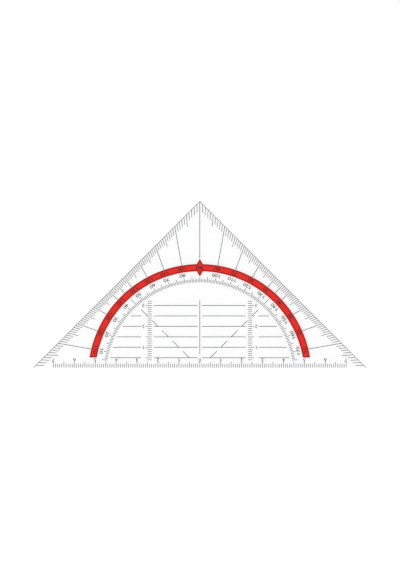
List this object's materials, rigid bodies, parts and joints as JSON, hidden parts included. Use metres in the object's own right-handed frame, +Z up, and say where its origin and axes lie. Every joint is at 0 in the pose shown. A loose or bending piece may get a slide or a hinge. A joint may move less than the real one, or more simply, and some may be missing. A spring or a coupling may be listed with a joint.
{
  "type": "set square",
  "caption": "Clear flexible set square: a right-angled isosceles sheet with a ruling edge, printed millimetre and degree scales, parallel lines and a red degree band.",
  "frame": {"origin": "the zero mark, where the centre line meets the ruling edge, on the underside of the sheet", "axes": "+X along the ruling edge, +Y from the ruling edge to the right-angled corner, +Z up, out of the printed face"},
  "size_m": [0.1592, 0.0799, 0.0015],
  "materials": {
    "clear_plastic": "clear, polished, slightly flexible",
    "black_ink": "screen-printed, satin",
    "red_ink": "screen-printed, satin"
  },
  "bodies": {
    "root": {"clear_sheet": "clear_plastic", "red_degree_band": "red_ink", "ruling_edge_scale": "black_ink", "left_leg_degree_scale": "black_ink", "right_leg_degree_scale": "black_ink", "inner_degree_ring": "black_ink", "upper_centre_line": "black_ink", "lower_centre_line": "black_ink", "left_parallel_lines": "black_ink", "right_parallel_lines": "black_ink", "left_height_scale": "black_ink", "right_height_scale": "black_ink", "left_diagonal_dashes": "black_ink", "right_diagonal_dashes": "black_ink"}
  },
  "joints": []
}
